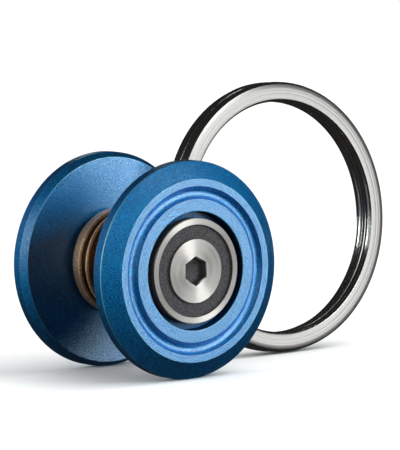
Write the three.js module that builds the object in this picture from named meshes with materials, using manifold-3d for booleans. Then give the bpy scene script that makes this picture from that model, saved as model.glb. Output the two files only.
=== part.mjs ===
// A magnetic orbiter toy: a spool of two anodised flanges on a ribbed copper hub, finger caps that
// turn on a ball bearing in each flange, and a loose steel ring that rolls round the hub, drawn to
// it by the magnets inside. It stands on its flange rims with the ring leaning beside the hub.
import * as THREE from 'three';
import { mergeVertices } from 'three/addons/utils/BufferGeometryUtils.js';
import Module from 'manifold-3d';

const wasm = await Module();
wasm.setup();

// Sizes in millimetres, angles in degrees. The spool's axis is Y and every turned profile is a list
// of [radius, height], where height is measured along that axis from the middle of the spool.
const FINE_SIDES = 40;
const RING_SIDES = 64;
const INNER_SIDES = 24;
const GAP = 0.3;

const FLANGE_R = 22.5;
const FLANGE_INSIDE = 11.4;
const FLANGE_FACE = 17.5;
const RIM_CHAMFER = { radial: 1.0, axial: 1.5 };
const RIM_TOP = 15.0;
const EDGE_BREAK = 0.2;
const CONE_R = 18.83;
const GROOVE = { inner: 14.75, outer: 17.35, depth: 1.0, steps: 6 };
const CAP_RECESS = { radius: 12.2, floor: 15.0 };
const SPIGOT = { radius: 9.3, end: 8.6, bore: 5.6 };

const HUB = { ridge: 11.0, root: 10.3, bore: 9.5, end: 11.25, flank: 0.25 };
const RIDGES = [[-10.4, -7.7], [-6.1, -5.1], [-2.6, 2.6], [5.1, 6.1], [7.7, 10.4]];
const MAGNET = { inner: 4.6, outer: 9.2, low: 1.7, high: 8.4 };
const POLE_HALF = 1.5;

const BEARING = { bore: 3.175, outer: 6.35, low: 10.2, high: 14.96 };
const BEARING_MID = (BEARING.low + BEARING.high) / 2;
const BALL = { radius: 0.794, pitch: 4.7625, count: 10 };
const INNER_LAND = 4.15;
const OUTER_LAND = 5.35;
const CAGE = { inner: 4.35, outer: 5.15, low: -0.45, high: 1.2, pocket: 0.12 };

const CAP = { radius: 10.83, rim: 9.52, boss: 6.62, back: 15.3, field: 16.9, edge: 0.1 };
const CAP_SEAT = { radius: 4.0, height: 15.06 };
const CAP_STEM = { radius: 2.0, end: 9.5 };
const SOCKET = { flats: 5.0, depth: 1.6 };
const AXLE = { bore: 2.2, outer: 3.05, half: 14.8 };
const SPACER = { bore: 3.25, outer: 4.0, half: 10.05 };

const RING = {
  outer: 28.75,
  inner: 24.5,
  half: 2.575,
  land: 2.15,
  innerLand: 1.9,
  faceOuter: 28.25,
  faceInner: 25.4,
};
const RING_GROOVES = { outerHalf: 0.28, outerDepth: 0.3, innerHalf: 0.75, innerDepth: 0.4 };
const RING_LEAN = 4.78;
const RING_YAW = 1.45;
const RING_ALONG = 5.94;

const FINISHES = {
  anodised: { color: 0x1c5fa0, roughness: 0.45, metalness: 0.8 },
  copper: { color: 0xa87b5c, roughness: 0.4, metalness: 1.0 },
  steel: { color: 0xc8c6c0, roughness: 0.25, metalness: 1.0 },
  ringSteel: { color: 0xd4d3d0, roughness: 0.18, metalness: 1.0 },
  bearingSteel: { color: 0xb9bcc0, roughness: 0.15, metalness: 1.0 },
  magnet: { color: 0xa9abad, roughness: 0.3, metalness: 1.0 },
  brassCage: { color: 0xb08d4a, roughness: 0.4, metalness: 1.0 },
};

// A closed turned body. The profile runs anticlockwise, with the radius to the right, and either
// closes on itself or starts and ends on the axis.
function turned(profile, sides) {
  const points = profile.map(([radius, height]) => new THREE.Vector2(radius, height));
  const onAxis = profile[0][0] === 0;
  if (!onAxis) points.push(points[0].clone());
  return new THREE.LatheGeometry(points, sides);
}

function tube(inner, outer, low, high, sides) {
  return turned([[inner, low], [outer, low], [outer, high], [inner, high]], sides);
}

function solid(geometry) {
  const bare = geometry.clone();
  bare.deleteAttribute('normal');
  bare.deleteAttribute('uv');
  const merged = mergeVertices(bare, 1e-4);
  const vertProperties = new Float32Array(merged.attributes.position.array);
  const triVerts = new Uint32Array(merged.index.array);
  return new wasm.Manifold(new wasm.Mesh({ numProp: 3, vertProperties, triVerts }));
}

function geometryOf(manifold) {
  const mesh = manifold.getMesh();
  const geometry = new THREE.BufferGeometry();
  geometry.setAttribute('position', new THREE.BufferAttribute(mesh.vertProperties, 3));
  geometry.setIndex(new THREE.BufferAttribute(mesh.triVerts, 1));
  geometry.computeVertexNormals();
  return geometry;
}

function piece(name, geometry, finish) {
  const mesh = new THREE.Mesh(geometry, new THREE.MeshStandardMaterial(FINISHES[finish]));
  mesh.name = name;
  return mesh;
}

// The round groove in the flange's face, from its outer lip to its inner lip.
function grooveArc() {
  const half = (GROOVE.outer - GROOVE.inner) / 2;
  const middle = (GROOVE.outer + GROOVE.inner) / 2;
  const radius = (half ** 2 + GROOVE.depth ** 2) / (2 * GROOVE.depth);
  const centre = FLANGE_FACE + radius - GROOVE.depth;
  const sweep = Math.asin(half / radius);
  const points = [];
  for (let i = 0; i <= GROOVE.steps; i += 1) {
    const angle = sweep * (1 - (2 * i) / GROOVE.steps);
    points.push([middle + radius * Math.sin(angle), centre - radius * Math.cos(angle)]);
  }
  return points;
}

function flange(side) {
  const pocket = BEARING.outer + GAP / 2;
  const profile = [
    [SPIGOT.bore, SPIGOT.end],
    [SPIGOT.radius, SPIGOT.end],
    [SPIGOT.radius, FLANGE_INSIDE],
    [FLANGE_R - RIM_CHAMFER.radial, FLANGE_INSIDE],
    [FLANGE_R, FLANGE_INSIDE + RIM_CHAMFER.axial],
    [FLANGE_R, RIM_TOP],
    [FLANGE_R - EDGE_BREAK, RIM_TOP + EDGE_BREAK],
    [CONE_R, FLANGE_FACE],
    ...grooveArc(),
    [CAP_RECESS.radius, FLANGE_FACE],
    [CAP_RECESS.radius, CAP_RECESS.floor],
    [pocket, CAP_RECESS.floor],
    [pocket, BEARING.low - GAP / 3],
    [SPIGOT.bore, BEARING.low - GAP / 3],
  ];
  return piece(`${side}_flange`, turned(profile, FINE_SIDES), 'anodised');
}

function hubSleeve() {
  const profile = [[HUB.bore, -HUB.end], [HUB.root, -HUB.end]];
  for (const [low, high] of RIDGES) {
    profile.push([HUB.root, low - HUB.flank], [HUB.ridge, low]);
    profile.push([HUB.ridge, high], [HUB.root, high + HUB.flank]);
  }
  profile.push([HUB.root, HUB.end], [HUB.bore, HUB.end]);
  return piece('hub_sleeve', turned(profile, FINE_SIDES), 'copper');
}

function magnet(side) {
  const geometry = tube(MAGNET.inner, MAGNET.outer, MAGNET.low, MAGNET.high, INNER_SIDES);
  return piece(`${side}_magnet`, geometry, 'magnet');
}

function poleWasher() {
  const geometry = tube(MAGNET.inner, MAGNET.outer, -POLE_HALF, POLE_HALF, INNER_SIDES);
  return piece('pole_washer', geometry, 'bearingSteel');
}

// Both races: the ball track is a shallow trough that clears the balls by a few hundredths.
function innerRace(side) {
  const track = BALL.pitch - BALL.radius - GAP / 5;
  const profile = [
    [BEARING.bore, BEARING.low],
    [INNER_LAND, BEARING.low],
    [INNER_LAND, BEARING_MID - 0.55],
    [track, BEARING_MID - 0.25],
    [track, BEARING_MID + 0.25],
    [INNER_LAND, BEARING_MID + 0.55],
    [INNER_LAND, BEARING.high],
    [BEARING.bore, BEARING.high],
  ];
  return piece(`${side}_inner_race`, turned(profile, INNER_SIDES), 'bearingSteel');
}

function outerRace(side) {
  const track = BALL.pitch + BALL.radius + GAP / 3;
  const profile = [
    [OUTER_LAND, BEARING.low],
    [BEARING.outer, BEARING.low],
    [BEARING.outer, BEARING.high],
    [OUTER_LAND, BEARING.high],
    [OUTER_LAND, BEARING_MID + 0.6],
    [track, BEARING_MID + 0.25],
    [track, BEARING_MID - 0.25],
    [OUTER_LAND, BEARING_MID - 0.6],
  ];
  return piece(`${side}_outer_race`, turned(profile, INNER_SIDES), 'bearingSteel');
}

function ballPlace(index) {
  const angle = (2 * Math.PI * index) / BALL.count;
  return new THREE.Vector3(BALL.pitch * Math.sin(angle), BEARING_MID, BALL.pitch * Math.cos(angle));
}

function ball(side, index) {
  const name = `${side}_ball_${String(index + 1).padStart(2, '0')}`;
  const mesh = piece(name, new THREE.SphereGeometry(BALL.radius, 6, 5), 'bearingSteel');
  mesh.position.copy(ballPlace(index));
  return mesh;
}

// A crown cage: a thin ring above the balls with prongs that reach down between them.
function cage(side) {
  const low = BEARING_MID + CAGE.low;
  const high = BEARING_MID + CAGE.high;
  let crown = solid(tube(CAGE.inner, CAGE.outer, low, high, BALL.count * 2));
  for (let i = 0; i < BALL.count; i += 1) {
    const { x, y, z } = ballPlace(i);
    const pocket = new THREE.SphereGeometry(BALL.radius + CAGE.pocket, 8, 5);
    crown = crown.subtract(solid(pocket.translate(x, y, z)));
  }
  return piece(`${side}_cage`, geometryOf(crown), 'brassCage');
}

function cap(side) {
  const profile = [
    [0, CAP_STEM.end],
    [CAP_STEM.radius, CAP_STEM.end],
    [CAP_STEM.radius, CAP_SEAT.height],
    [CAP_SEAT.radius, CAP_SEAT.height],
    [CAP_SEAT.radius, CAP.back],
    [CAP.radius - CAP.edge, CAP.back],
    [CAP.radius, CAP.back + CAP.edge],
    [CAP.radius, FLANGE_FACE - CAP.edge],
    [CAP.radius - CAP.edge, FLANGE_FACE],
    [CAP.rim, FLANGE_FACE],
    [CAP.rim, CAP.field],
    [CAP.boss, CAP.field],
    [CAP.boss, FLANGE_FACE],
    [0, FLANGE_FACE],
  ];
  const corner = SOCKET.flats / Math.sqrt(3);
  const key = new THREE.CylinderGeometry(corner, corner, 2 * SOCKET.depth, 6);
  key.translate(0, FLANGE_FACE, 0);
  const body = solid(turned(profile, FINE_SIDES)).subtract(solid(key));
  return piece(`${side}_cap`, geometryOf(body), 'steel');
}

function axleTube() {
  return piece('axle_tube', tube(AXLE.bore, AXLE.outer, -AXLE.half, AXLE.half, INNER_SIDES), 'steel');
}

function spacerTube() {
  const geometry = tube(SPACER.bore, SPACER.outer, -SPACER.half, SPACER.half, INNER_SIDES);
  return piece('spacer_tube', geometry, 'steel');
}

// The loose ring: chamfered corners, a fine groove round the outside and a wide one round the inside.
function orbitRing() {
  const { outer, inner, half, land, innerLand, faceOuter, faceInner } = RING;
  const { outerHalf, outerDepth, innerHalf, innerDepth } = RING_GROOVES;
  const profile = [
    [faceInner, -half],
    [faceOuter, -half],
    [outer, -land],
    [outer, -outerHalf],
    [outer - outerDepth, 0],
    [outer, outerHalf],
    [outer, land],
    [faceOuter, half],
    [faceInner, half],
    [inner, innerLand],
    [inner, innerHalf],
    [inner + innerDepth, innerHalf / 2],
    [inner + innerDepth, -innerHalf / 2],
    [inner, -innerHalf],
    [inner, -innerLand],
  ];
  return piece('orbit_ring', turned(profile, RING_SIDES), 'ringSteel');
}

// The ring stands on the table with its outside beside the hub and its top leaning back a little.
function placeRing(ring) {
  const lean = THREE.MathUtils.degToRad(RING_LEAN);
  const yaw = THREE.MathUtils.degToRad(RING_YAW);
  const height = RING.outer * Math.cos(lean) + RING.land * Math.sin(lean) - FLANGE_R;
  const reach = HUB.ridge + GAP + RING.outer;
  ring.rotation.set(-lean, 0, yaw, 'ZXY');
  ring.position.set(Math.sqrt(reach ** 2 - height ** 2), RING_ALONG, height);
  return ring.position.x + RING.outer * Math.cos(yaw) + RING.land * Math.sin(yaw);
}

function halfSpool(side) {
  const half = new THREE.Group();
  half.add(flange(side), magnet(side), outerRace(side), innerRace(side), cage(side), cap(side));
  for (let i = 0; i < BALL.count; i += 1) half.add(ball(side, i));
  return half;
}

const rear = halfSpool('rear');
const front = halfSpool('front');
front.rotation.x = Math.PI;

const ring = orbitRing();
const farEdge = placeRing(ring);

const orbiter = new THREE.Group();
orbiter.add(rear, front, hubSleeve(), poleWasher(), axleTube(), spacerTube(), ring);
orbiter.position.set((FLANGE_R - farEdge) / 2, 0, FLANGE_R);

const model = new THREE.Group();
model.add(orbiter);

export default model;
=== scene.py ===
"""The magnetic orbiter's looks: finely turned flanges, caps, hub and ring, with machined finishes."""
import math
from collections import namedtuple

import bpy
from mathutils import Matrix, Vector

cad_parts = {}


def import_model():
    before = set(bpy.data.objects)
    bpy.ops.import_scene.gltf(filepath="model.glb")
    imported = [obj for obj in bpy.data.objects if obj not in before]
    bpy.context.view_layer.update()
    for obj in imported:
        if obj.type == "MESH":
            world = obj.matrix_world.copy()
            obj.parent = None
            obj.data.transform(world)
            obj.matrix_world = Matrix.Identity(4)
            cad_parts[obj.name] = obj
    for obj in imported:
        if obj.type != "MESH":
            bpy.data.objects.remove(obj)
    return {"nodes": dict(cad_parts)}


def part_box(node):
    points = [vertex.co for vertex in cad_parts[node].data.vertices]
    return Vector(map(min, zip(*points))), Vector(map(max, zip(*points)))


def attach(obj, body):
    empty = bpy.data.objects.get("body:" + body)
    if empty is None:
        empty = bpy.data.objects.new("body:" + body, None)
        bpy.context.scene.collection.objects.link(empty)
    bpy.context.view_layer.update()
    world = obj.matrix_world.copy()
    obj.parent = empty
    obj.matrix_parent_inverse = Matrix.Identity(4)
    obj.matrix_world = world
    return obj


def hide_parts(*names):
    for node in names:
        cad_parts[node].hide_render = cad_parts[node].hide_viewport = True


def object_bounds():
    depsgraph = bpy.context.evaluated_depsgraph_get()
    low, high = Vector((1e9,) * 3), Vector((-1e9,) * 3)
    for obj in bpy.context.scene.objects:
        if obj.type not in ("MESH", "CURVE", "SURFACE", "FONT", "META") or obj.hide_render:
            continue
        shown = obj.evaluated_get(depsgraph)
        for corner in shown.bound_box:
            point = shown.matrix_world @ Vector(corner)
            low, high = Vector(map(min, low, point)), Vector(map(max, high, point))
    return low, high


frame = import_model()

cad_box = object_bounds()

# Profiles are in millimetres: a radius, and a height along the spool's axis from its middle.
MM = 0.001
TURN_STEPS = 168
RING_STEPS = 240
# How a corner is rounded: the steps of its arc, the turn too slight to round, the share of a
# stretch that one arc may take, and how far past the arc the supporting point lies.
ARC_STEPS = 4
LEAST_TURN = 0.02
ARC_SHARE = 0.45
SUPPORT = 0.05

# ------------------------------------------------------------------ sizes, from the frame


def box_centre(node):
    low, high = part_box(node)
    return (Vector(low) + Vector(high)) / 2


def box_size(node):
    low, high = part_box(node)
    return (Vector(high) - Vector(low)) / MM


SPOOL_CENTRE = box_centre("hub_sleeve")
RING_CENTRE = box_centre("orbit_ring")
FLANGE_R = box_size("front_flange").z / 2
CAP_R = box_size("front_cap").z / 2
FACE = (SPOOL_CENTRE.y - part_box("front_cap")[0][1]) / MM
HUB_R = box_size("hub_sleeve").z / 2
HUB_END = box_size("hub_sleeve").y / 2
AXLE_HALF = box_size("axle_tube").y / 2
SPACER_HALF = box_size("spacer_tube").y / 2
POLE_HALF = box_size("pole_washer").y / 2
MAGNET_R = box_size("pole_washer").z / 2

FLANGE_INSIDE = 11.4
CHAMFER = (1.0, 1.5)  # radial, axial
RIM_TOP = 15.07
CONE_R = 18.83
GROOVE = (14.75, 17.35, 1.0)  # inner radius, outer radius, depth
GROOVE_STEPS = 18
RECESS = (12.2, 15.0)  # radius, floor height
SPIGOT = (5.6, 9.3, 8.6)  # bore, radius, end height
POCKET = (6.5, 10.1)  # the bearing's seat: radius, shoulder height

RIBS = [(-10.4, -7.7), (-6.1, -5.1), (-2.6, 2.6), (5.1, 6.1), (7.7, 10.4)]
RIB_ROOT = 10.3
RIB_BEVEL = 0.35
RIB_FLARE = (0.2, 0.05)  # how far a flank spreads at the root, and below its bevel
HUB_BORE = 9.5

CAP_RIM = 9.52
CAP_BOSS = 6.62
CAP_FIELD = 16.9
CAP_BACK = 15.3
CAP_SEAT = (4.0, 15.06)  # radius, height
CAP_STEM = (2.0, 9.5)  # radius, end height
CAP_BRIGHT_BAND = 0.4  # how much of the side wall is bare steel, next to the face; below it the wall is painted dark as shade in the gap
SOCKET_FLAT = 2.5
SOCKET_DEPTH = 1.6
SOCKET_LEAD_IN = 0.22
SOCKET_TURNED_R = 4.0  # outside this, the boss's face is round again
SOCKET_DRILL = (1.5, 0.05, 0.6)  # radius, and the depths of its lip and tip below the socket

# One side of the ring's section, as radius, height and fillet. The other side mirrors it, and
# each wall ends in the groove in its middle.
RING_HALF = 2.575
RING_FACE_START = [(25.04, 2.52, 0.06), (25.3, 2.56, 0.0), (25.6, RING_HALF, 0.0)]
RING_FACE_END = [(27.4, 2.56, 0.0), (27.8, 2.515, 0.0)]
RING_FACE_LINES = (25.72, 26.36, 27.1)
RING_LINE_HALF = 0.07
RING_LINE_DEPTH = 0.01
RING_OUTER_WALL = [(28.2, 2.43, 0.06), (28.6, 2.03, 0.15), (28.72, 1.65, 0.0), (28.75, 1.25, 0.0),
                   (28.72, 0.7, 0.0), (28.62, 0.3, 0.1), (28.4, 0.0, 0.06)]
RING_INNER_WALL = [(24.74, 2.2, 0.2), (24.57, 1.85, 0.0), (24.5, 1.4, 0.0), (24.57, 0.95, 0.0),
                   (24.74, 0.65, 0.1), (25.0, 0.4, 0.15)]
RING_LEAN = math.radians(4.78)
RING_YAW = math.radians(1.45)

MAGNET = (4.6, 1.7, 8.4)  # bore, and the heights of its ends
BEARING = (3.175, 6.35, 10.2, 14.96)  # bore, outside radius, and the heights of its ends
BEARING_LANDS = (4.15, 5.35)  # the inner race's outside, the outer race's inside
BEARING_TRACKS = (3.91, 5.65)  # the same, at the bottom of the balls' tracks
TRACK_HALF = (0.3, 0.6)  # half the track's width, at its bottom and at its lips
BALL_R = 0.794
BALL_COUNT = 10
BALL_STEPS = 24
AXLE = (2.2, 3.05)  # bore, outside radius
SPACER = (3.25, 4.0)

# ------------------------------------------------------------------ turned shapes

# A corner of an outline. hexagon says how far its circle is drawn out to a hexagon, and finish is
# the material of the stretch that follows it.
Corner = namedtuple("Corner", "radius height fillet hexagon finish", defaults=(0.0, 0.0, 0))
Point = namedtuple("Point", "radius height edge hexagon finish")


def filleted(corners, closed):
    """Rounds the corners of an anticlockwise outline into short arcs, marked as edges if outward.

    A straight stretch gets a point just inside each end, so that smooth shading stays in the arcs.
    """
    points = []
    count = len(corners)
    for i, corner in enumerate(corners):
        here = Vector((corner.radius, corner.height))
        last = corners[i - 1].finish
        if not closed and i in (0, count - 1):
            points.append(Point(here.x, here.y, 0.0, corner.hexagon, corner.finish))
            continue
        back = Vector(corners[i - 1][:2]) - here
        ahead = Vector(corners[(i + 1) % count][:2]) - here
        turn = math.pi - back.angle(ahead)
        if corner.fillet == 0.0 or turn < LEAST_TURN:
            points.append(Point(here.x, here.y, 0.0, corner.hexagon, corner.finish))
            continue
        limit = ARC_SHARE * min(back.length, ahead.length)
        reach = min(corner.fillet * math.tan(turn / 2), limit)
        radius = reach / math.tan(turn / 2)
        outward = back.x * ahead.y - back.y * ahead.x < 0
        start = here + back.normalized() * reach
        end = here + ahead.normalized() * reach
        middle = (back.normalized() + ahead.normalized()).normalized()
        centre = here + middle * (radius / math.cos(turn / 2))
        if back.length - reach > 3 * SUPPORT:
            lead = start + back.normalized() * SUPPORT
            points.append(Point(lead.x, lead.y, 0.0, corner.hexagon, last))
        for k in range(ARC_STEPS + 1):
            angle = (turn if outward else -turn) * k / ARC_STEPS
            arm = Matrix.Rotation(angle, 2) @ (start - centre)
            edge = 1.0 if outward and 0 < k < ARC_STEPS else 0.0
            finish = corner.finish if k == ARC_STEPS else last
            points.append(Point(centre.x + arm.x, centre.y + arm.y, edge, corner.hexagon, finish))
        if ahead.length - reach > 3 * SUPPORT:
            trail = end + ahead.normalized() * SUPPORT
            points.append(Point(trail.x, trail.y, 0.0, corner.hexagon, corner.finish))
    return points


def hexagon_reach(angle):
    """How much further out a hexagon lies than its inscribed circle, with a corner at angle 0."""
    sixth = math.pi / 3
    return 1 / math.cos(angle % sixth - sixth / 2)


def turned(name, corners, place, materials, steps=TURN_STEPS, closed=True):
    """Spins an outline round the local Y axis, and stands it in the frame with place."""
    profile = filleted(corners, closed)
    verts, local, edges, rows = [], [], [], []
    for point in profile:
        row = []
        turns = 1 if point.radius < 1e-6 else steps
        for j in range(turns):
            angle = 2 * math.pi * j / steps
            drawn = 1 + point.hexagon * (hexagon_reach(angle) - 1)
            radius = point.radius * drawn
            here = Vector((radius * math.sin(angle), point.height, radius * math.cos(angle)))
            row.append(len(verts))
            verts.append(place @ (here * MM))
            local.append(here)
            edges.append(point.edge)
        rows.append(row)
    faces, finishes = [], []
    spans = len(rows) if closed else len(rows) - 1
    for i in range(spans):
        low, high = rows[i], rows[(i + 1) % len(rows)]
        for j in range(steps):
            k = (j + 1) % steps
            if len(low) == 1:
                faces.append((low[0], high[k], high[j]))
            elif len(high) == 1:
                faces.append((low[j], low[k], high[0]))
            else:
                faces.append((low[j], low[k], high[k], high[j]))
            finishes.append(profile[i].finish)
    mesh = bpy.data.meshes.new(name)
    mesh.from_pydata(verts, [], faces)
    for material in materials:
        mesh.materials.append(material)
    mesh.polygons.foreach_set("material_index", finishes)
    mesh.polygons.foreach_set("use_smooth", [True] * len(faces))
    spun = mesh.attributes.new("local_mm", "FLOAT_VECTOR", "POINT")
    spun.data.foreach_set("vector", [c for v in local for c in v])
    edge = mesh.attributes.new("edge", "FLOAT", "POINT")
    edge.data.foreach_set("value", edges)
    mesh.update()
    obj = bpy.data.objects.new(name, mesh)
    bpy.context.scene.collection.objects.link(obj)
    return obj


# The rear half of the spool stands as it is turned; the front half is the same, turned about X.
REAR = Matrix.Translation(SPOOL_CENTRE)
FRONT = REAR @ Matrix.Rotation(math.pi, 4, "X")
HALVES = {"rear": REAR, "front": FRONT}


def finish_piece(obj, body, slot, *nodes):
    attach(obj, body)
    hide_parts(*nodes)


# ------------------------------------------------------------------ materials


def new_material(name):
    material = bpy.data.materials.new(name)
    material.use_nodes = True
    tree = material.node_tree
    return material, tree, tree.nodes["Principled BSDF"]


def add(tree, kind, inputs=(), **settings):
    """A node with its settings made and its inputs linked or set."""
    node = tree.nodes.new(kind)
    for key, value in settings.items():
        setattr(node, key, value)
    for key, value in dict(inputs).items():
        if isinstance(value, bpy.types.NodeSocket):
            tree.links.new(value, node.inputs[key])
        else:
            node.inputs[key].default_value = value
    return node


def local_mm(tree):
    return add(tree, "ShaderNodeAttribute", attribute_name="local_mm").outputs["Vector"]


def math_node(tree, operation, a, b):
    return add(tree, "ShaderNodeMath", {0: a, 1: b}, operation=operation).outputs[0]


def noise(tree, vector, scale, detail=2.0, roughness=0.5):
    inputs = {"Vector": vector, "Scale": scale, "Detail": detail, "Roughness": roughness}
    return add(tree, "ShaderNodeTexNoise", inputs).outputs["Fac"]


def dimples(tree, vector, scale, smoothness):
    inputs = {"Vector": vector, "Scale": scale, "Smoothness": smoothness}
    return add(tree, "ShaderNodeTexVoronoi", inputs, feature="SMOOTH_F1").outputs["Distance"]


def ramp(tree, factor, stops):
    """A colour ramp through (position, colour) stops."""
    node = add(tree, "ShaderNodeValToRGB", {"Fac": factor})
    elements = node.color_ramp.elements
    while len(elements) < len(stops):
        elements.new(0.5)
    for element, (position, colour) in zip(elements, stops):
        element.position = position
        element.color = (*colour, 1.0)
    return node.outputs["Color"]


def grey_ramp(tree, factor, stops):
    return ramp(tree, factor, [(position, (value,) * 3) for position, value in stops])


def mix_colour(tree, factor, a, b):
    node = add(tree, "ShaderNodeMix", data_type="RGBA")
    for key, value in ((0, factor), (6, a), (7, b)):
        if isinstance(value, bpy.types.NodeSocket):
            tree.links.new(value, node.inputs[key])
        elif key == 0:
            node.inputs[key].default_value = value
        else:
            node.inputs[key].default_value = (*value, 1.0)
    return node.outputs[2]


def bump(tree, height, distance):
    inputs = {"Height": height, "Distance": distance, "Strength": 1.0}
    return add(tree, "ShaderNodeBump", inputs).outputs["Normal"]


def object_mm(tree):
    """The frame's own coordinates in millimetres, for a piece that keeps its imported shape."""
    where = add(tree, "ShaderNodeTexCoord").outputs["Object"]
    return add(tree, "ShaderNodeVectorMath", {0: where, "Scale": 1 / MM},
               operation="SCALE").outputs[0]


def lathe_radius(tree):
    parts = add(tree, "ShaderNodeSeparateXYZ", {0: local_mm(tree)}).outputs
    flat = add(tree, "ShaderNodeCombineXYZ", {"X": parts["X"], "Z": parts["Z"]}).outputs[0]
    return add(tree, "ShaderNodeVectorMath", {0: flat}, operation="LENGTH").outputs["Value"]


def lathe_lines(tree, fineness):
    """Noise that is even round the axis and fine across it, as a lathe tool leaves a surface."""
    height = add(tree, "ShaderNodeSeparateXYZ", {0: local_mm(tree)}).outputs["Y"]
    across = math_node(tree, "MULTIPLY", lathe_radius(tree), fineness)
    along = math_node(tree, "MULTIPLY", height, fineness)
    vector = add(tree, "ShaderNodeCombineXYZ", {"X": across, "Y": along}).outputs[0]
    return noise(tree, vector, 1.0, 3.0, 0.6)


def edge_mask(tree):
    return add(tree, "ShaderNodeAttribute", attribute_name="edge").outputs["Fac"]


def anodised_blue(name, shade, gloss):
    """Bead-blasted aluminium with a deep blue dye: a dull, grainy metal under a clear oxide.

    shade darkens the dye's colour, and below 1 it paints shade; gloss is how much of the clear
    oxide's sheen shows.
    """
    material, tree, bsdf = new_material(name)
    where = local_mm(tree)
    grain = noise(tree, where, 2.8, 4.0, 0.75)
    pits = dimples(tree, where, 3.4, 0.7)
    patches = noise(tree, where, 0.22, 2.0, 0.5)
    base = ramp(tree, grain, [(0.42, (0.0, 0.17 * shade, 0.60 * shade)),
                              (0.58, (0.0, 0.465 * shade, 0.97 * shade))])
    toned = mix_colour(tree, grey_ramp(tree, patches, [(0.35, 0.0), (0.7, 0.25)]), base,
                       (0.0, 0.27 * shade, 0.8 * shade))
    # Painted highlight: the outward edges are lightened to a pale blue, standing in for light
    # glinting along them.
    edge_wear_and_highlight = mix_colour(tree, edge_mask(tree), toned, (0.25, 0.72, 1.0))
    tree.links.new(edge_wear_and_highlight, bsdf.inputs["Base Color"])
    tree.links.new(grey_ramp(tree, grain, [(0.3, 0.46), (0.75, 0.54)]), bsdf.inputs["Roughness"])
    height = math_node(tree, "ADD", grain, math_node(tree, "MULTIPLY", pits, 0.6))
    tree.links.new(bump(tree, height, 0.14 * MM), bsdf.inputs["Normal"])
    frosted = bump(tree, noise(tree, where, 4.6, 3.0, 0.7), 0.06 * MM)
    tree.links.new(frosted, bsdf.inputs["Coat Normal"])
    bsdf.inputs["Metallic"].default_value = 1.0
    bsdf.inputs["Specular Tint"].default_value = (0.0, 0.3, 0.8, 1.0)
    bsdf.inputs["Coat Weight"].default_value = gloss
    bsdf.inputs["Coat Roughness"].default_value = 0.24
    bsdf.inputs["Coat IOR"].default_value = 2.08
    return material


def turned_steel(name, tone, fineness, roughness, depth, anisotropy, contrast=0.86):
    """Steel with fine lathe lines round its axis, which draw its highlights out across them.

    Its tone is redder than steel's by as much as the soft boxes' tint takes away.
    """
    material, tree, bsdf = new_material(name)
    lines = lathe_lines(tree, fineness)
    clouds = noise(tree, local_mm(tree), 0.35, 3.0, 0.55)
    dark = tuple(channel * contrast for channel in tone)
    base = ramp(tree, lines, [(0.35, dark), (0.65, tone)])
    marked = mix_colour(tree, grey_ramp(tree, clouds, [(0.4, 0.0), (0.75, 0.5)]), base,
                        tuple(channel * 0.85 for channel in tone))
    tree.links.new(marked, bsdf.inputs["Base Color"])
    spread = grey_ramp(tree, lines, [(0.2, roughness * 0.8), (0.8, roughness * 1.25)])
    tree.links.new(spread, bsdf.inputs["Roughness"])
    tree.links.new(bump(tree, lines, depth * MM), bsdf.inputs["Normal"])
    bsdf.inputs["Metallic"].default_value = 1.0
    bsdf.inputs["Anisotropic"].default_value = anisotropy
    bsdf.inputs["Anisotropic Rotation"].default_value = 0.25
    tangent = add(tree, "ShaderNodeTangent", direction_type="RADIAL", axis="Y")
    tree.links.new(tangent.outputs[0], bsdf.inputs["Tangent"])
    return material


def dark_field_and_painted_shade():
    """The sunk field between the cap's rim and its boss: blackened and finely blasted. The cap's side
    wall below its steel band takes it too, as painted shade down in the gap.
    """
    material, tree, bsdf = new_material("dark_field_and_painted_shade")
    where = local_mm(tree)
    grain = noise(tree, where, 4.0, 4.0, 0.75)
    base = ramp(tree, grain, [(0.38, (0.031, 0.026, 0.029)), (0.64, (0.138, 0.116, 0.124))])
    edge_wear_and_highlight = mix_colour(tree, math_node(tree, "MULTIPLY", edge_mask(tree), 0.6), base,
                      (0.35, 0.34, 0.32))
    tree.links.new(edge_wear_and_highlight, bsdf.inputs["Base Color"])
    tree.links.new(grey_ramp(tree, grain, [(0.3, 0.55), (0.7, 0.72)]), bsdf.inputs["Roughness"])
    tree.links.new(bump(tree, grain, 0.05 * MM), bsdf.inputs["Normal"])
    bsdf.inputs["Metallic"].default_value = 0.6
    return material


def aged_copper():
    """Tumbled copper with small dents, darker towards the rib roots as painted shade in the grooves,
    and bright on the rib tops.
    """
    material, tree, bsdf = new_material("aged_copper")
    where = local_mm(tree)
    lines = lathe_lines(tree, 6.0)
    mottle = noise(tree, where, 2.4, 4.0, 0.7)
    dents = dimples(tree, where, 2.6, 0.5)
    # Painted shade: the colour darkens from the rib tops down to the rib roots, in the grooves, and a
    # random mottle varies it.
    height = add(
        tree,
        "ShaderNodeMapRange",
        {"Value": lathe_radius(tree), "From Min": RIB_ROOT, "From Max": HUB_R},
    ).outputs["Result"]
    patchy = grey_ramp(tree, mottle, [(0.32, 0.78), (0.68, 1.0)])
    groove_shade_and_mottle = math_node(tree, "MULTIPLY", height, patchy)
    base = ramp(tree, groove_shade_and_mottle, [(0.0, (0.05, 0.014, 0.003)), (0.5, (0.20, 0.075, 0.025)),
                               (0.72, (0.52, 0.25, 0.12)), (0.95, (0.95, 0.56, 0.36))])
    # Painted highlight: the outward edges are lightened to a pale copper.
    edge_wear_and_highlight = mix_colour(tree, math_node(tree, "MULTIPLY", edge_mask(tree), 0.7), base,
                      (1.0, 0.78, 0.62))
    tree.links.new(edge_wear_and_highlight, bsdf.inputs["Base Color"])
    tree.links.new(grey_ramp(tree, mottle, [(0.3, 0.30), (0.75, 0.48)]), bsdf.inputs["Roughness"])
    marks = math_node(tree, "ADD", lines, math_node(tree, "MULTIPLY", dents, 1.5))
    tree.links.new(bump(tree, marks, 0.09 * MM), bsdf.inputs["Normal"])
    bsdf.inputs["Metallic"].default_value = 0.9
    return material


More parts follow.
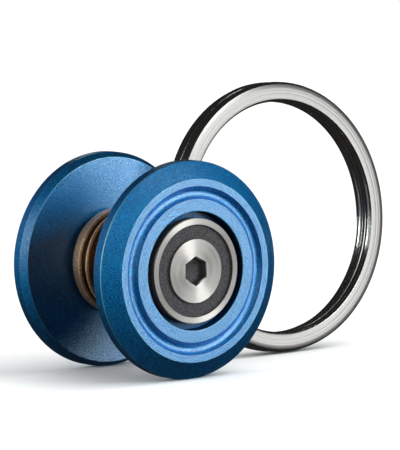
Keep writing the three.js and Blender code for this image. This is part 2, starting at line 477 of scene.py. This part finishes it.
def plain_metal(name, where_from, tone, grain, roughness, depth):
    """An all-over metal finish, from polished to satin, by its grain and roughness."""
    material, tree, bsdf = new_material(name)
    where = where_from(tree)
    fine = noise(tree, where, grain, 3.0, 0.6)
    clouds = noise(tree, where, grain / 12, 2.0, 0.5)
    base = ramp(tree, fine, [(0.25, tuple(0.85 * channel for channel in tone)), (0.75, tone)])
    marked = mix_colour(tree, grey_ramp(tree, clouds, [(0.4, 0.0), (0.75, 0.25)]), base,
                        tuple(0.7 * channel for channel in tone))
    tree.links.new(marked, bsdf.inputs["Base Color"])
    tree.links.new(grey_ramp(tree, clouds, [(0.3, roughness * 0.8), (0.7, roughness * 1.3)]),
                   bsdf.inputs["Roughness"])
    tree.links.new(bump(tree, fine, depth * MM), bsdf.inputs["Normal"])
    bsdf.inputs["Metallic"].default_value = 1.0
    return material


ANODISED = anodised_blue("anodised_blue", 1.0, 1.0)
# A shaded copy of the anodised blue, darkened and dulled, paints shade into the flanges' cap recess.
ANODISED_PAINTED_SHADE = anodised_blue("anodised_recess_painted_shade", 0.35, 0.25)
CAP_STEEL = turned_steel("turned_steel", (0.55, 0.45, 0.43), 7.0, 0.42, 0.002, 0.97)
FIELD_DARK_AND_SHADE = dark_field_and_painted_shade()
COPPER = aged_copper()
# The face and walls are one steel. The walls are more polished, and their tone is over three times
# the face's: a painted highlight on the walls, with the face's tone held down.
RING_STEEL = turned_steel("ring_steel", (0.29, 0.237, 0.229), 2.4, 0.29, 0.0, 0.5, contrast=0.7)
RING_WALL_HIGHLIGHT = turned_steel("ring_wall_painted_highlight", (1.0, 0.88, 0.83), 3.2, 0.17, 0.0, 0.2, contrast=0.75)
BEARING_STEEL = plain_metal("bearing_steel", local_mm, (0.62, 0.62, 0.63), 9.0, 0.12, 0.001)
SPINDLE_STEEL = turned_steel("spindle_steel", (0.5, 0.5, 0.49), 5.0, 0.3, 0.003, 0.7)
PLATING = plain_metal("magnet_plating", local_mm, (0.66, 0.63, 0.57), 4.0, 0.2, 0.004)
BRASS = plain_metal("cage_brass", object_mm, (0.62, 0.42, 0.16), 6.0, 0.3, 0.003)

# ------------------------------------------------------------------ the spool


def groove_corners():
    """The round groove in the flange's face, from its outer lip to its inner lip."""
    inner, outer, depth = GROOVE
    half = (outer - inner) / 2
    radius = (half ** 2 + depth ** 2) / (2 * depth)
    centre = FACE + radius - depth
    sweep = math.asin(half / radius)
    corners = []
    for i in range(GROOVE_STEPS + 1):
        angle = sweep * (1 - 2 * i / GROOVE_STEPS)
        across = (inner + outer) / 2 + radius * math.sin(angle)
        lip = 0.1 if i in (0, GROOVE_STEPS) else 0.0
        corners.append(Corner(across, centre - radius * math.cos(angle), lip))
    return corners


def flange(side):
    bore, spigot, spigot_end = SPIGOT
    recess, floor = RECESS
    pocket, shoulder = POCKET
    radial, axial = CHAMFER
    corners = [
        Corner(bore, spigot_end, 0.15),
        Corner(spigot, spigot_end, 0.3),
        Corner(spigot, FLANGE_INSIDE, 0.2),
        Corner(FLANGE_R - radial, FLANGE_INSIDE, 0.15),
        Corner(FLANGE_R, FLANGE_INSIDE + axial, 0.15),
        Corner(FLANGE_R, RIM_TOP, 0.4),
        Corner(CONE_R, FACE, 0.15),
        *groove_corners(),
        # The recess wall and floor take the darkened copy of the blue, as painted shade.
        Corner(recess, FACE, 0.18, finish=1),
        Corner(recess, floor, 0.25, finish=1),
        Corner(pocket, floor, 0.15),
        Corner(pocket, shoulder, 0.1),
        Corner(bore, shoulder, 0.1),
    ]
    obj = turned(f"{side}_flange_turned", corners, HALVES[side], [ANODISED, ANODISED_PAINTED_SHADE])
    finish_piece(obj, "spool", "anodised_blue", f"{side}_flange")


def hub():
    """The copper sleeve, whose ribs have bevelled tops and flanks that spread towards the root."""
    root_flare, top_flare = RIB_FLARE
    corners = [Corner(HUB_BORE, -HUB_END, 0.1), Corner(RIB_ROOT, -HUB_END, 0.15)]
    for low, high in RIBS:
        corners += [
            Corner(RIB_ROOT, low - root_flare, 0.15),
            Corner(HUB_R - RIB_BEVEL, low - top_flare, 0.12),
            Corner(HUB_R, low + RIB_BEVEL, 0.2),
            Corner(HUB_R, high - RIB_BEVEL, 0.2),
            Corner(HUB_R - RIB_BEVEL, high + top_flare, 0.12),
            Corner(RIB_ROOT, high + root_flare, 0.15),
        ]
    corners += [Corner(RIB_ROOT, HUB_END, 0.15), Corner(HUB_BORE, HUB_END, 0.1)]
    obj = turned("hub_ribbed", corners, REAR, [COPPER])
    finish_piece(obj, "spool", "aged_copper", "hub_sleeve")


def cap(side):
    """The finger cap, with a hexagon socket for its key in the middle of the boss."""
    seat, seat_height = CAP_SEAT
    stem, stem_end = CAP_STEM
    drill, drill_lip, drill_tip = SOCKET_DRILL
    corners = [
        Corner(0.0, stem_end),
        Corner(stem, stem_end, 0.25),
        Corner(stem, seat_height, 0.1),
        Corner(seat, seat_height, 0.1),
        Corner(seat, CAP_BACK, 0.1),
        # Painted shade: from here up to the steel band the side wall is dark, where it lies down in
        # the flange's gap.
        Corner(CAP_R, CAP_BACK, 0.3, finish=1),
        Corner(CAP_R, FACE - CAP_BRIGHT_BAND),
        Corner(CAP_R, FACE, 0.3),
        Corner(CAP_RIM, FACE, 0.08, finish=1),
        Corner(CAP_RIM, CAP_FIELD, 0.12, finish=1),
        Corner(CAP_BOSS, CAP_FIELD, 0.12, finish=1),
        Corner(CAP_BOSS, FACE, 0.08),
        Corner(SOCKET_TURNED_R, FACE),
        Corner(SOCKET_FLAT + SOCKET_LEAD_IN, FACE, 0.04, hexagon=1.0),
        Corner(SOCKET_FLAT, FACE - SOCKET_LEAD_IN, 0.06, hexagon=1.0, finish=1),
        Corner(SOCKET_FLAT, FACE - SOCKET_DEPTH, 0.1, hexagon=1.0, finish=1),
        Corner(drill, FACE - SOCKET_DEPTH - drill_lip, finish=1),
        Corner(0.0, FACE - SOCKET_DEPTH - drill_tip, finish=1),
    ]
    obj = turned(f"{side}_cap_turned", corners, HALVES[side], [CAP_STEEL, FIELD_DARK_AND_SHADE],
                 closed=False)
    finish_piece(obj, "spindle", "turned_steel", f"{side}_cap")


def ring_corners():
    """The ring's whole section: out across one face, over the outer wall, and back to the bore."""
    face = list(RING_FACE_START)
    for line in RING_FACE_LINES:
        face += [
            (line - RING_LINE_HALF, RING_HALF, 0.0),
            (line, RING_HALF - RING_LINE_DEPTH, 0.0),
            (line + RING_LINE_HALF, RING_HALF, 0.0),
        ]
    face += RING_FACE_END
    outer, inner = RING_OUTER_WALL, RING_INNER_WALL
    corners = [Corner(r, -h, f) for r, h, f in face]
    # The walls, finish 1, take the brightened steel that paints their highlights.
    corners += [Corner(r, -h, f, finish=1) for r, h, f in outer]
    corners += [Corner(r, h, f, finish=1) for r, h, f in reversed(outer[1:-1])]
    corners += [Corner(r, h, f) for r, h, f in outer[:1] + face[:0:-1]]
    corners += [Corner(r, h, f, finish=1) for r, h, f in face[:1] + inner]
    corners += [Corner(r, -h, f, finish=1) for r, h, f in reversed(inner)]
    return corners


def ring():
    """The loose ring. Its face falls away to both walls, and a groove parts each wall's two lands."""
    lean = Matrix.Rotation(-RING_LEAN, 4, "X")
    yaw = Matrix.Rotation(RING_YAW, 4, "Z")
    place = Matrix.Translation(RING_CENTRE) @ yaw @ lean
    materials = [RING_STEEL, RING_WALL_HIGHLIGHT]
    obj = turned("orbit_ring_turned", ring_corners(), place, materials, steps=RING_STEPS)
    finish_piece(obj, "ring", "ring_steel", "orbit_ring")


def hollow(name, bore, radius, low, high, side, material, edge=0.15):
    """A plain turned tube or washer with its edges broken."""
    corners = [
        Corner(bore, low, edge),
        Corner(radius, low, edge),
        Corner(radius, high, edge),
        Corner(bore, high, edge),
    ]
    return turned(name, corners, HALVES[side], [material])


def races(side):
    """The two races of a ball bearing, each with a rounded track for the balls."""
    bore, outside, low, high = BEARING
    middle = (low + high) / 2
    inner_land, outer_land = BEARING_LANDS
    inner_track, outer_track = BEARING_TRACKS
    bottom, lip = TRACK_HALF
    inner = [
        Corner(bore, low, 0.2),
        Corner(inner_land, low, 0.1),
        Corner(inner_land, middle - lip),
        Corner(inner_track, middle - bottom, 0.3),
        Corner(inner_track, middle + bottom, 0.3),
        Corner(inner_land, middle + lip),
        Corner(inner_land, high, 0.1),
        Corner(bore, high, 0.2),
    ]
    outer = [
        Corner(outer_land, low, 0.1),
        Corner(outside, low, 0.2),
        Corner(outside, high, 0.2),
        Corner(outer_land, high, 0.1),
        Corner(outer_land, middle + lip),
        Corner(outer_track, middle + bottom, 0.3),
        Corner(outer_track, middle - bottom, 0.3),
        Corner(outer_land, middle - lip),
    ]
    for part, corners, body in (("inner", inner, "spindle"), ("outer", outer, "spool")):
        node = f"{side}_{part}_race"
        obj = turned(f"{node}_turned", corners, HALVES[side], [BEARING_STEEL])
        finish_piece(obj, body, "bearing_steel", node)


def balls(side):
    sweep = [math.pi * i / BALL_STEPS for i in range(BALL_STEPS + 1)]
    corners = [Corner(BALL_R * math.sin(a), -BALL_R * math.cos(a)) for a in sweep]
    corners[0] = Corner(0.0, -BALL_R)
    corners[-1] = Corner(0.0, BALL_R)
    for i in range(BALL_COUNT):
        node = f"{side}_ball_{i + 1:02d}"
        place = Matrix.Translation(box_centre(node))
        obj = turned(f"{node}_round", corners, place, [BEARING_STEEL], 2 * BALL_STEPS, closed=False)
        finish_piece(obj, f"{side}_ball_set", "bearing_steel", node)


def magnet(side):
    bore, low, high = MAGNET
    obj = hollow(f"{side}_magnet_plated", bore, MAGNET_R, low, high, side, PLATING, edge=0.3)
    finish_piece(obj, "spool", "magnet_plating", f"{side}_magnet")


def middle_pieces():
    """The pole washer between the magnets, and the tubes that the caps close on."""
    washer = hollow("pole_washer_ground", MAGNET[0], MAGNET_R, -POLE_HALF, POLE_HALF, "rear",
                    BEARING_STEEL)
    finish_piece(washer, "spool", "bearing_steel", "pole_washer")
    axle = hollow("axle_tube_turned", *AXLE, -AXLE_HALF, AXLE_HALF, "rear", SPINDLE_STEEL)
    finish_piece(axle, "spindle", "spindle_steel", "axle_tube")
    spacer = hollow("spacer_tube_turned", *SPACER, -SPACER_HALF, SPACER_HALF, "rear",
                    SPINDLE_STEEL)
    finish_piece(spacer, "spindle", "spindle_steel", "spacer_tube")


for side in HALVES:
    flange(side)
    cap(side)
    races(side)
    balls(side)
    magnet(side)
    for slot in frame["nodes"][f"{side}_cage"].material_slots:
        slot.material = BRASS
hub()
middle_pieces()
ring()

# ------------------------------------------------------------------ camera, floor and light

VIEW_AZIMUTH = math.radians(-37.65)
VIEW_ELEVATION = math.radians(6.21)
VIEW_ROLL = math.radians(-0.84)
VIEW_DISTANCE = 0.988
AIM_RIGHT = -0.0065
LENS = 376.5
SENSOR_WIDTH = 36.0
FLOOR_HALF = 6.0
LIT_POINT = Vector((0.0, 0.0, 0.03))
SOFTBOX_DISTANCE = 0.9
# The tint brings the dyed metal to the photo's blue. The steels' tones make up for it.
SOFTBOX_TINT = (0.82, 1.0, 1.0)
WORLD_COLOUR = (0.9, 0.95, 1.0, 1.0)
WORLD_STRENGTH = 0.018


def view_axes():
    """The camera's right, up and back directions."""
    azimuth, elevation = VIEW_AZIMUTH, VIEW_ELEVATION
    back = Vector((math.sin(azimuth) * math.cos(elevation),
                   -math.cos(azimuth) * math.cos(elevation), math.sin(elevation)))
    level = Vector((math.cos(azimuth), math.sin(azimuth), 0.0))
    tilt = Matrix.Rotation(VIEW_ROLL, 3, back)
    right = tilt @ level
    return right, back.cross(right), back


def camera():
    data = bpy.data.cameras.new("camera")
    data.lens = LENS
    data.sensor_width = SENSOR_WIDTH
    data.clip_start = 0.05
    data.clip_end = 20.0
    obj = bpy.data.objects.new("camera", data)
    bpy.context.scene.collection.objects.link(obj)
    right, up, back = view_axes()
    middle = (Vector(cad_box[0]) + Vector(cad_box[1])) / 2
    aim = middle + right * AIM_RIGHT
    axes = Matrix((right, up, back)).transposed().to_4x4()
    obj.matrix_world = Matrix.Translation(aim + back * VIEW_DISTANCE) @ axes
    bpy.context.scene.camera = obj


def floor():
    """A pale table that reflections leave out, as if dark card lay round the piece."""
    material, tree, bsdf = new_material("floor_pale")
    where = add(tree, "ShaderNodeTexCoord").outputs["Object"]
    mottle = noise(tree, where, 30.0, 3.0, 0.5)
    tree.links.new(ramp(tree, mottle, [(0.3, (0.90, 0.88, 0.88)), (0.7, (0.93, 0.91, 0.91))]),
                   bsdf.inputs["Base Color"])
    bsdf.inputs["Roughness"].default_value = 0.9
    bsdf.inputs["Specular IOR Level"].default_value = 0.0
    mesh = bpy.data.meshes.new("floor")
    square = ((-1, -1), (1, -1), (1, 1), (-1, 1))
    mesh.from_pydata([(x * FLOOR_HALF, y * FLOOR_HALF, 0) for x, y in square], [], [(0, 1, 2, 3)])
    mesh.materials.append(material)
    obj = bpy.data.objects.new("floor", mesh)
    obj.visible_glossy = False
    bpy.context.scene.collection.objects.link(obj)


def softbox(name, direction, size, radiance):
    """A soft box of even radiance that faces the piece from a direction."""
    width, height = size
    data = bpy.data.lights.new(name, "AREA")
    data.shape = "RECTANGLE"
    data.size, data.size_y = size
    data.energy = radiance * math.pi * width * height
    data.color = SOFTBOX_TINT
    obj = bpy.data.objects.new(name, data)
    towards = Vector(direction).normalized()
    obj.location = LIT_POINT + towards * SOFTBOX_DISTANCE
    obj.rotation_mode = "QUATERNION"
    obj.rotation_quaternion = towards.to_track_quat("Z", "Y")
    bpy.context.scene.collection.objects.link(obj)


def skylight(name, direction, spread, strength):
    """Broad light that whitens the table and softens its shadows, and isn't seen in the metal."""
    data = bpy.data.lights.new(name, "SUN")
    data.angle = math.radians(spread)
    data.energy = strength
    obj = bpy.data.objects.new(name, data)
    obj.rotation_mode = "QUATERNION"
    obj.rotation_quaternion = Vector(direction).to_track_quat("Z", "Y")
    obj.visible_glossy = False
    bpy.context.scene.collection.objects.link(obj)


def world():
    surroundings = bpy.data.worlds.new("studio")
    surroundings.use_nodes = True
    background = surroundings.node_tree.nodes["Background"]
    background.inputs["Color"].default_value = WORLD_COLOUR
    background.inputs["Strength"].default_value = WORLD_STRENGTH
    bpy.context.scene.world = surroundings


camera()
floor()
world()
softbox("key", (0.54, -0.83, 0.01), (0.44, 0.34), 5.9)
softbox("key_high", (0.40, -0.80, 0.40), (0.34, 0.28), 9.8)
softbox("left", (-0.94, 0.16, 0.26), (0.26, 0.36), 7.5)
softbox("left_high", (-0.80, -0.50, 0.34), (0.14, 0.36), 3.2)
softbox("back", (0.16, 0.98, 0.10), (0.8, 0.3), 1.8)
skylight("dome", (0.0, 0.0, 1.0), 170.0, 2.3)
skylight("window", (0.5, -0.3, 1.0), 40.0, 1.3)
bpy.context.scene.view_settings.view_transform = "Standard"
